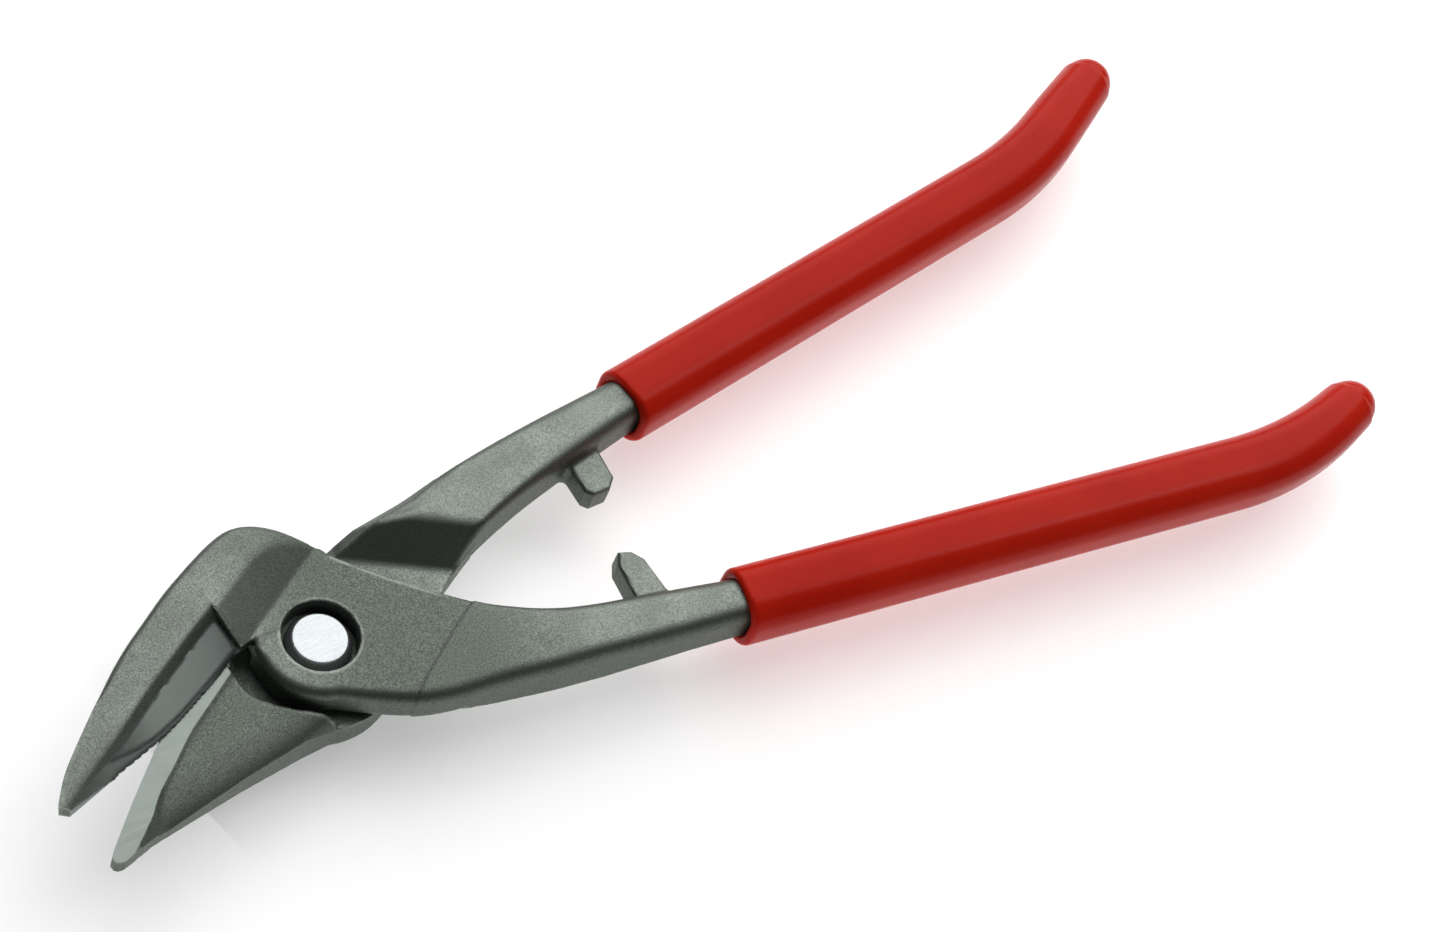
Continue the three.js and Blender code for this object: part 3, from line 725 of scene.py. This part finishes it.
def rubbed(points, normals, from_x, blade):
    """How far use has brightened a level face, along the handle and on the outer blade."""
    level = smoothstep(normals[:, 2], LEVEL_FROM, LEVEL_FULL)
    x = points[:, 0]
    return level * (smoothstep(x, from_x, from_x + RUB_FADE) + blade * smoothstep(-x, *BLADE_RUB))


# ---- pivot hardware ---------------------------------------------------------------------------------

HARDWARE_EDGE = 0.15
SOFT_EDGE = 0.25
BOLT_SEAT = COUNTERBORE_FLOOR + GAP / 2
NECK_END = BEARING - GAP / 2
THREAD_DEPTH = 0.6
THREAD_FADE = 1.0, 0.5          # the thread starts this far above the nut's top, and is full this far below
FLANK_COS = 0.7
BOLT_POINT = 0.7                # chamfer at the bolt's end
NUT_EDGE = 0.2
NUT_CHAMFER = 0.9               # chamfer of the nut's lower corners
NUT_TOP_CHAMFER = 0.5
NUT_CHAMFER_RISE = 0.6
NUT_CHAMFER_COS = 0.857
COLLAR_EDGE = 0.5
COLLAR_WALL = 0.7
COLLAR_MOUTH = 1.3              # width of the collar's wall and its lip together
COLLAR_LIP = 0.3                # thickness of that lip


def ring(x, y, z, inner, outer, low, high, radius):
    axis = np.hypot(x, y)
    body = both(axis - outer, np.abs(z - (low + high) / 2) - (high - low) / 2, radius)
    return both(body, inner - axis, radius)


def pivot_bolt(x, y, z):
    """A chamfered head, a keyed neck, and a shank threaded for the nut."""
    axis = np.hypot(x, y)
    turn = np.arctan2(y, x) / (2 * math.pi)
    head = both(axis - BOLT_HEAD_R, np.maximum(z, BOLT_SEAT - z), HARDWARE_EDGE)
    rim_drop = BOLT_CHAMFER / (BOLT_HEAD_R - BOLT_FACE_R)
    cone = ((axis - BOLT_FACE_R) * rim_drop + z) / math.hypot(rim_drop, 1)
    head = both(head, cone, SOFT_EDGE)
    wave = np.abs((z / THREAD_PITCH + turn) % 1.0 - 0.5) * 2
    depth = THREAD_DEPTH * smoothstep(z, NUT_TOP + THREAD_FADE[0], NUT_TOP - THREAD_FADE[1])
    core = THREAD_R - depth * np.clip(1.25 * wave - 0.15, 0, 1)     # flat crests and roots
    shank = np.where(z > WASHER_TOP + GAP, SHANK_R, core)
    rod = both(np.maximum((axis - shank) * FLANK_COS, z - BOLT_SEAT - 0.1), BOLT_END - z, 0.05)
    point = (axis - THREAD_R + BOLT_POINT + BOLT_END - z) * DIAGONAL
    rod = np.maximum(rod, point)
    neck = np.maximum(np.abs(y) - KEY_FLAT, NECK_END - z)
    rod = np.where(z > NECK_END, np.maximum(rod, neck), rod)
    return np.minimum(head, rod)


def thrust_washer(x, y, z):
    return ring(x, y, z, SHANK_R + GAP, WASHER_R, WASHER_TOP - WASHER_T, WASHER_TOP, SOFT_EDGE)


def disc_spring(x, y, z):
    """A cone-shaped washer, lower at its hole."""
    hole = SHANK_R + GAP
    fall = SPRING_CONE * (SPRING_R - np.hypot(x, y)) / (SPRING_R - hole)
    return ring(x, y, z + fall, hole, SPRING_R, SPRING_TOP - SPRING_T, SPRING_TOP, HARDWARE_EDGE)


def pivot_nut(x, y, z):
    """A hexagon nut with a collar that holds the locking ring."""
    axis = np.hypot(x, y)
    angle = np.arctan2(y, x)
    sector = (angle % math.radians(60)) - math.radians(30)
    flats = axis * np.cos(sector) - NUT_FLATS / 2
    nut = both(flats, np.maximum(NUT_LOW - z, z - NUT_TOP), NUT_EDGE)
    corner = NUT_FLATS / math.sqrt(3)
    chamfer = (axis - corner + NUT_CHAMFER + NUT_CHAMFER_RISE * (NUT_LOW - z)) * NUT_CHAMFER_COS
    top_chamfer = (axis - corner + NUT_TOP_CHAMFER + NUT_CHAMFER_RISE * (z - NUT_TOP)) * NUT_CHAMFER_COS
    nut = both(nut, np.maximum(chamfer, top_chamfer), HARDWARE_EDGE)
    collar = both(axis - COLLAR_R, COLLAR_LOW - z, COLLAR_EDGE)
    collar = np.maximum(collar, z - NUT_LOW - 1)
    nut = either(nut, collar, 0.3)
    lip_top = COLLAR_LOW + COLLAR_LIP
    ring_seat = np.maximum(axis - COLLAR_R + COLLAR_WALL, np.maximum(lip_top - z, z - NUT_LOW))
    mouth = np.maximum(axis - COLLAR_R + COLLAR_MOUTH, z - NUT_LOW)
    nut = np.maximum(nut, -np.minimum(ring_seat, mouth))
    bore = axis - THREAD_R - GAP / 2
    return both(nut, -bore, SOFT_EDGE)


def nut_lock_ring(x, y, z):
    low, high = COLLAR_LOW + COLLAR_LIP + GAP / 2, NUT_LOW - GAP / 2
    return ring(x, y, z, THREAD_R + GAP / 2, COLLAR_R - COLLAR_WALL - GAP / 2, low, high, 0.2)


# ---- dipped grips -----------------------------------------------------------------------------------

AROUND = 72                 # points round a grip
BORE_RINGS, LIP_RINGS, SKIN_RINGS, NOSE_RINGS = 60, 12, 230, 18
BORE_START = 1.2            # where the bore's and the skin's even parts start, along the handle
SKIN_START = 1.6
THINNEST_LIP = 0.05
NOSE_POWER = 0.86           # below 1, so that the end is blunter than a half ball


def grip_ring(handle, distance, width, depth, corner):
    """A rounded rectangle across the handle, as points in space."""
    x, y, heading = handle_point(handle, distance)
    side = np.array([-math.sin(heading), math.cos(heading), 0])
    place = np.array([x, y, HANDLE_MID])
    half_w, half_d = width / 2 - corner, depth / 2 - corner
    quarter = AROUND // 4
    points = []
    for sx, sz, start in ((1, 1, 0), (-1, 1, 90), (-1, -1, 180), (1, -1, 270)):
        for i in range(quarter):
            # all points lie on the corners, so each flat is one long face between two of them
            angle = math.radians(start + 90 * (i + 0.5) / quarter)
            u = sx * half_w + corner * math.cos(angle)
            v = sz * half_d + corner * math.sin(angle)
            points.append(place + side * u + np.array([0, 0, v]))
    return points


def grip_size(handle, distance):
    """Width and depth of a grip's skin at a distance along its handle."""
    swell = min(distance / handle["straight"], 1) * GRIP_SWELL
    beyond = (distance - handle["straight"]) / (handle_length(handle) - handle["straight"])
    past = min(max(beyond, 0), 1)
    width = GRIP_W + swell - (GRIP_SWELL + GRIP_NARROW) * past * past
    return width, GRIP_D + (width - GRIP_W)


def grip_rings(handle):
    """Rings from the bottom of the bore out over the mouth and along the skin to the blunt end."""
    total = handle_length(handle)
    rings = []
    for distance in np.linspace(total - TANG_END_GAP + GAP, BORE_START, BORE_RINGS):
        rings.append(grip_ring(handle, distance, TANG_W + 2 * GAP, TANG_D + 2 * GAP, TANG_CORNER + GAP))
    width, depth = grip_size(handle, 0)
    skin = (GRIP_W - TANG_W) / 2 - GAP
    for turn in np.radians(np.linspace(-70, 90, LIP_RINGS)):
        inset = min(GRIP_LIP * (1 - math.sin(turn)), skin - THINNEST_LIP)
        reach = GRIP_LIP * (1 - math.cos(turn))
        rings.append(grip_ring(handle, reach, width - 2 * inset, depth - 2 * inset, GRIP_CORNER - inset))
    for distance in np.linspace(SKIN_START, total - GRIP_NOSE, SKIN_RINGS):
        rings.append(grip_ring(handle, distance, *grip_size(handle, distance), GRIP_CORNER))
    width, depth = grip_size(handle, total)
    for turn in np.radians(np.linspace(5, 88, NOSE_RINGS)):
        scale = math.cos(turn) ** NOSE_POWER
        distance = total - GRIP_NOSE + GRIP_NOSE * math.sin(turn)
        rings.append(grip_ring(handle, distance, width * scale, depth * scale, GRIP_CORNER * scale))
    return rings


def grip(name, handle):
    """A dipped sleeve, lofted through its rings and closed at both ends."""
    rings = grip_rings(handle)
    faces = []
    for i in range(len(rings) - 1):
        for j in range(AROUND):
            k = (j + 1) % AROUND
            faces.append((i * AROUND + j, (i + 1) * AROUND + j, (i + 1) * AROUND + k, i * AROUND + k))
    last = (len(rings) - 1) * AROUND
    ends = [tuple(range(AROUND)), tuple(reversed(range(last, last + AROUND)))]
    return mesh_piece(name, np.array(rings).reshape(-1, 3), faces + ends)


# ---- materials --------------------------------------------------------------------------------------

class Nodes:
    """A material's nodes, made one by one."""

    def __init__(self, name):
        self.material = bpy.data.materials.new(name)
        self.material.use_nodes = True
        self.tree = self.material.node_tree
        self.shader = self.tree.nodes["Principled BSDF"]
        self.place = self.add("ShaderNodeTexCoord").outputs["Object"]

    def add(self, kind, **settings):
        node = self.tree.nodes.new(kind)
        for key, value in settings.items():
            setattr(node, key, value)
        return node

    def link(self, source, target):
        self.tree.links.new(source, target)

    def noise(self, size_mm, detail=3.0, roughness=0.5, stretch=None):
        """Noise whose features are about that many millimetres wide."""
        node = self.add("ShaderNodeTexNoise")
        node.inputs["Scale"].default_value = 1 / (size_mm * MM)
        node.inputs["Detail"].default_value = detail
        node.inputs["Roughness"].default_value = roughness
        source = self.place
        if stretch:
            mapping = self.add("ShaderNodeMapping")
            mapping.inputs["Rotation"].default_value = stretch[0]
            mapping.inputs["Scale"].default_value = stretch[1]
            self.link(source, mapping.inputs["Vector"])
            source = mapping.outputs["Vector"]
        self.link(source, node.inputs["Vector"])
        return node.outputs["Fac"]

    def attribute(self, name):
        return self.add("ShaderNodeAttribute", attribute_name=name).outputs["Fac"]

    def ramp(self, source, low, high, to_low=0.0, to_high=1.0):
        node = self.add("ShaderNodeMapRange", interpolation_type="SMOOTHSTEP")
        node.inputs["From Min"].default_value = low
        node.inputs["From Max"].default_value = high
        node.inputs["To Min"].default_value = to_low
        node.inputs["To Max"].default_value = to_high
        self.link(source, node.inputs["Value"])
        return node.outputs["Result"]

    def mix(self, factor, a, b):
        """Mixes two colours, each a socket or a tuple."""
        node = self.add("ShaderNodeMix", data_type="RGBA")
        self.link(factor, node.inputs["Factor"])
        color_a, color_b = node.inputs[6], node.inputs[7]
        for socket, value in ((color_a, a), (color_b, b)):
            if isinstance(value, tuple):
                socket.default_value = (*value, 1.0)
            else:
                self.link(value, socket)
        return node.outputs[2]

    def math(self, kind, a, b):
        node = self.add("ShaderNodeMath", operation=kind)
        for socket, value in zip(node.inputs, (a, b)):
            if isinstance(value, (int, float)):
                socket.default_value = value
            else:
                self.link(value, socket)
        return node.outputs[0]

    def bump(self, height, strength, distance_mm, normal=None):
        node = self.add("ShaderNodeBump")
        node.inputs["Strength"].default_value = strength
        node.inputs["Distance"].default_value = distance_mm * MM
        self.link(height, node.inputs["Height"])
        if normal:
            self.link(normal, node.inputs["Normal"])
        return node.outputs["Normal"]

    def finish(self, color, roughness, normal, **sockets):
        self.link(color, self.shader.inputs["Base Color"])
        self.link(roughness, self.shader.inputs["Roughness"])
        self.link(normal, self.shader.inputs["Normal"])
        for key, value in sockets.items():
            self.shader.inputs[key.replace("_", " ")].default_value = value
        return self.material


def forged_steel():
    """Bead-blasted forging with rubbed edges, bare ground metal where the blades were ground, and painted
    shade that darkens its hollows.
    """
    dark_blast, pale_blast = (0.105, 0.122, 0.104), (0.156, 0.178, 0.154)
    cloud_color, blotch_color = (0.130, 0.146, 0.122), (0.225, 0.252, 0.222)
    handled, worn, painted_shade = (0.355, 0.393, 0.353), (0.34, 0.375, 0.335), (0.040, 0.044, 0.037)
    dark_ground, pale_ground = (0.200, 0.228, 0.211), (0.247, 0.280, 0.260)
    dull_ground = (0.20, 0.215, 0.20)
    n = Nodes("forged_steel")
    grain = n.noise(0.28, 2.0, 0.6)
    cloud = n.noise(7.0, 3.0)
    blotch = n.noise(1.6, 3.0, 0.6)
    wear = n.ramp(n.attribute("wear"), 0.08, 0.60)
    hollow = n.ramp(n.attribute("hollow"), 0.15, 0.9)
    blasted = n.mix(n.ramp(grain, 0.34, 0.66), dark_blast, pale_blast)
    bright = n.math("MULTIPLY", n.attribute("rubbed"), n.ramp(grain, 0.3, 0.7, 0.40, 0.70))
    blasted = n.mix(bright, blasted, handled)
    blasted = n.mix(n.ramp(cloud, 0.35, 0.7, 0.0, 0.35), blasted, cloud_color)
    blasted = n.mix(n.ramp(blotch, 0.55, 0.8, 0.0, 0.25), blasted, blotch_color)
    blasted = n.mix(n.math("MULTIPLY", wear, n.ramp(blotch, 0.25, 0.6, 0.35, 0.9)), blasted, worn)
    # painted shade: hollows and crevices are darkened, where less light reaches
    blasted = n.mix(n.math("MULTIPLY", hollow, 0.55), blasted, painted_shade)
    lines = n.noise(0.25, 2.0, 0.5, ((0, 0, math.radians(-20)), (0.06, 1.0, 1.0)))
    ground = n.mix(lines, dark_ground, pale_ground)
    ground = n.mix(n.ramp(cloud, 0.4, 0.7, 0.0, 0.3), ground, dull_ground)
    bare = n.ramp(n.attribute("ground"), 0.42, 0.58)
    color = n.mix(bare, blasted, ground)
    rough_blasted = n.ramp(grain, 0.3, 0.7, 0.62, 0.46)
    rough_ground = n.ramp(lines, 0.3, 0.7, 0.30, 0.42)
    rough = n.math("ADD", n.math("MULTIPLY", rough_blasted, n.math("SUBTRACT", 1.0, bare)),
                   n.math("MULTIPLY", rough_ground, bare))
    height = n.math("MULTIPLY", grain, n.ramp(bare, 0.0, 1.0, 1.0, 0.0))
    normal = n.bump(height, 0.55, 0.06)
    normal = n.bump(n.math("MULTIPLY", lines, bare), 0.15, 0.01, normal)
    return n.finish(color, rough, normal, Metallic=0.9)


def dipped_grip():
    """Smooth glossy red dip with a faint orange-peel skin."""
    deep_red, red_skin, pale_speck = (0.570, 0.014, 0.005), (0.622, 0.018, 0.006), (0.67, 0.055, 0.025)
    n = Nodes("dipped_grip")
    peel = n.noise(2.2, 2.0)
    fine = n.noise(0.5, 2.0)
    cloud = n.noise(25.0, 2.0)
    color = n.mix(n.ramp(cloud, 0.35, 0.65), deep_red, red_skin)
    color = n.mix(n.ramp(fine, 0.45, 0.75, 0.0, 0.12), color, pale_speck)
    rough = n.ramp(fine, 0.3, 0.7, 0.20, 0.27)
    normal = n.bump(peel, 0.12, 0.12)
    normal = n.bump(fine, 0.05, 0.03, normal)
    return n.finish(color, rough, normal, Specular_IOR_Level=0.08, IOR=1.5)


def zinc_plate():
    """Bright zinc with faint turning marks, small dents, and painted shade that darkens its hollows."""
    dark_zinc, pale_zinc = (0.525, 0.555, 0.570), (0.580, 0.605, 0.615)
    dent_color, painted_shade = (0.42, 0.46, 0.49), (0.15, 0.16, 0.16)
    n = Nodes("zinc_plate")
    scratch = n.noise(0.5, 3.0, 0.6, ((0, 0, math.radians(35)), (0.08, 1.0, 1.0)))
    dents = n.noise(1.1, 2.0, 0.6)
    fine = n.noise(0.18, 2.0)
    hollow = n.ramp(n.attribute("hollow"), 0.2, 0.9)
    color = n.mix(n.ramp(scratch, 0.35, 0.65), dark_zinc, pale_zinc)
    color = n.mix(n.ramp(dents, 0.56, 0.72, 0.0, 0.45), color, dent_color)
    # painted shade: hollows are darkened, where less light reaches
    color = n.mix(n.math("MULTIPLY", hollow, 0.6), color, painted_shade)
    rough = n.ramp(fine, 0.3, 0.7, 0.26, 0.40)
    normal = n.bump(dents, 0.25, 0.05)
    normal = n.bump(scratch, 0.04, 0.01, normal)
    return n.finish(color, rough, normal, Metallic=0.85)


def spring_steel():
    """Dark hardened steel, a little uneven in colour."""
    blue_black, brown_black = (0.060, 0.062, 0.070), (0.105, 0.100, 0.100)
    n = Nodes("spring_steel")
    fine = n.noise(0.3, 3.0)
    cloud = n.noise(4.0, 2.0)
    color = n.mix(n.ramp(cloud, 0.35, 0.65), blue_black, brown_black)
    rough = n.ramp(fine, 0.3, 0.7, 0.30, 0.45)
    return n.finish(color, rough, n.bump(fine, 0.15, 0.02), Metallic=0.9)


def nylon():
    """Dark blue plastic of the nut's locking ring."""
    dark_blue, blue = (0.030, 0.075, 0.230), (0.045, 0.100, 0.290)
    n = Nodes("nylon")
    fine = n.noise(0.4, 2.0)
    color = n.mix(n.ramp(fine, 0.35, 0.65), dark_blue, blue)
    rough = n.ramp(fine, 0.3, 0.7, 0.45, 0.6)
    return n.finish(color, rough, n.bump(fine, 0.1, 0.02))


# ---- assembly ---------------------------------------------------------------------------------------

def room(node):
    """Corners of the space searched for a piece's surface: its packed box with a margin."""
    low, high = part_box(node)
    return np.array(low) / MM - MARGIN, np.array(high) / MM + MARGIN


def dress(piece, node, material):
    """The piece stands for a CAD node and rides on its body."""
    body = next(b for b, nodes in frame["record"]["behaviour"]["bodies"].items() if node in nodes)
    piece.data.materials.append(material)
    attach(piece, body)
    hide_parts(node)


FORGING_STEP = 0.45         # size of the cells in which a lever is meshed
GROUND_FADE = 0.9           # width over which the ground metal gives way to the forging

steel, red, zinc = forged_steel(), dipped_grip(), zinc_plate()

# each lever: its field, where it is ground, where the rubbing starts, and how much its blade is rubbed
levers = {
    "front_lever": (front_lever, on_front_bevel, 20.0, 1.0),
    "rear_lever": (rear_lever, on_rear_strip, 0.0, 0.0),
}
for node, (field, ground, rubbed_from, blade) in levers.items():
    piece, vertices, normals = field_piece(node + "_forging", field, *room(node), FORGING_STEP)
    paint(piece, "ground", np.clip(0.5 + ground(vertices) / GROUND_FADE, 0, 1))
    paint(piece, "rubbed", rubbed(vertices, normals, rubbed_from, blade))
    dress(piece, node, steel)

# each small piece: its field, the size of its mesh's cells, its slot and its material
small = {
    "pivot_bolt": (pivot_bolt, 0.2, "zinc_plate", zinc),
    "thrust_washer": (thrust_washer, 0.22, "zinc_plate", zinc),
    "disc_spring": (disc_spring, 0.2, "spring_steel", spring_steel()),
    "pivot_nut": (pivot_nut, 0.22, "zinc_plate", zinc),
    "nut_lock_ring": (nut_lock_ring, 0.2, "nylon", nylon()),
}
for node, (field, step, slot, material) in small.items():
    piece, _, _ = field_piece(node + "_turned", field, *room(node), step)
    dress(piece, node, material)

for node, handle in (("front_grip", FRONT_HANDLE), ("rear_grip", REAR_HANDLE)):
    dress(grip(node + "_dip", handle), node, red)


# ---- stage ------------------------------------------------------------------------------------------

CAMERA_PLACE = (-0.15260, -0.15093, 0.36983)
CAMERA_HEADING = math.radians(57.14)        # of the line of sight, from +Y towards +X
CAMERA_FALL = math.radians(52.94)           # how far it points below the horizon
CAMERA_ROLL = math.radians(-28.17)
LENS = 65.0                                 # millimetres, on a sensor of the width below
SENSOR = 36.0
FLOOR_SIZE = 6
FLOOR_GAP = 0.0002                          # the floor lies this far below the lowest point
AMBIENT = 0.08


def add_camera():
    data = bpy.data.cameras.new("camera")
    data.lens = LENS
    data.sensor_width = SENSOR
    data.clip_start, data.clip_end = 0.01, 20.0
    camera = bpy.data.objects.new("camera", data)
    bpy.context.scene.collection.objects.link(camera)
    flat = math.cos(CAMERA_FALL)
    forward = math.cos(CAMERA_HEADING) * flat
    sight = Vector((math.sin(CAMERA_HEADING) * flat, forward, -math.sin(CAMERA_FALL)))
    right = sight.cross(Vector((0, 0, 1))).normalized()
    up = right.cross(sight)
    up = up * math.cos(CAMERA_ROLL) + right * math.sin(CAMERA_ROLL)
    right = sight.cross(up)
    turn = Matrix((right, up, -sight)).transposed().to_4x4()
    camera.matrix_world = Matrix.Translation(CAMERA_PLACE) @ turn
    bpy.context.scene.camera = camera


def add_floor():
    level = cad_box[0].z - FLOOR_GAP
    middle = (cad_box[0] + cad_box[1]) / 2
    bpy.ops.mesh.primitive_plane_add(size=FLOOR_SIZE, location=(middle.x, middle.y, level))
    floor = bpy.context.object
    floor.name = "floor"
    n = Nodes("floor")
    shade = n.mix(n.noise(400.0, 2.0), (0.86, 0.86, 0.86), (0.90, 0.90, 0.90))
    rough = n.ramp(n.noise(2.0), 0, 1, 0.8, 0.9)
    floor.data.materials.append(n.finish(shade, rough, n.bump(n.noise(1.0), 0.02, 0.02)))
    return floor


def add_light(name, direction, distance, size, power):
    """A square softbox that looks at the middle of the object."""
    middle = (cad_box[0] + cad_box[1]) / 2
    data = bpy.data.lights.new(name, "AREA")
    data.size = size
    data.energy = power
    light = bpy.data.objects.new(name, data)
    bpy.context.scene.collection.objects.link(light)
    towards = Vector(direction).normalized()
    light.location = middle + towards * distance
    light.rotation_mode = "QUATERNION"
    light.rotation_quaternion = towards.to_track_quat("Z", "Y")
    return light


def add_world(strength):
    """An even white surround."""
    world = bpy.data.worlds.new("studio")
    bpy.context.scene.world = world
    world.use_nodes = True
    background = world.node_tree.nodes["Background"]
    background.inputs["Color"].default_value = (1.0, 1.0, 1.0, 1.0)
    background.inputs["Strength"].default_value = strength


add_camera()
floor = add_floor()
add_world(AMBIENT)
add_light("key", (0.47, 0.48, 0.74), distance=1.3, size=1.85, power=20.0)
add_light("side_card", (0.62, -0.20, 0.76), distance=1.2, size=0.35, power=1.0)
# a lamp straight above that lights only the floor, and that the object doesn't shade
only_floor = bpy.data.collections.new("lit_by_the_table_lamp")
only_floor.objects.link(floor)
table_lamp = add_light("table_lamp", (0.0, 0.0, 1.0), distance=1.6, size=1.6, power=22.0)
table_lamp.light_linking.receiver_collection = only_floor
table_lamp.light_linking.blocker_collection = only_floor
bpy.context.scene.view_settings.view_transform = "Standard"
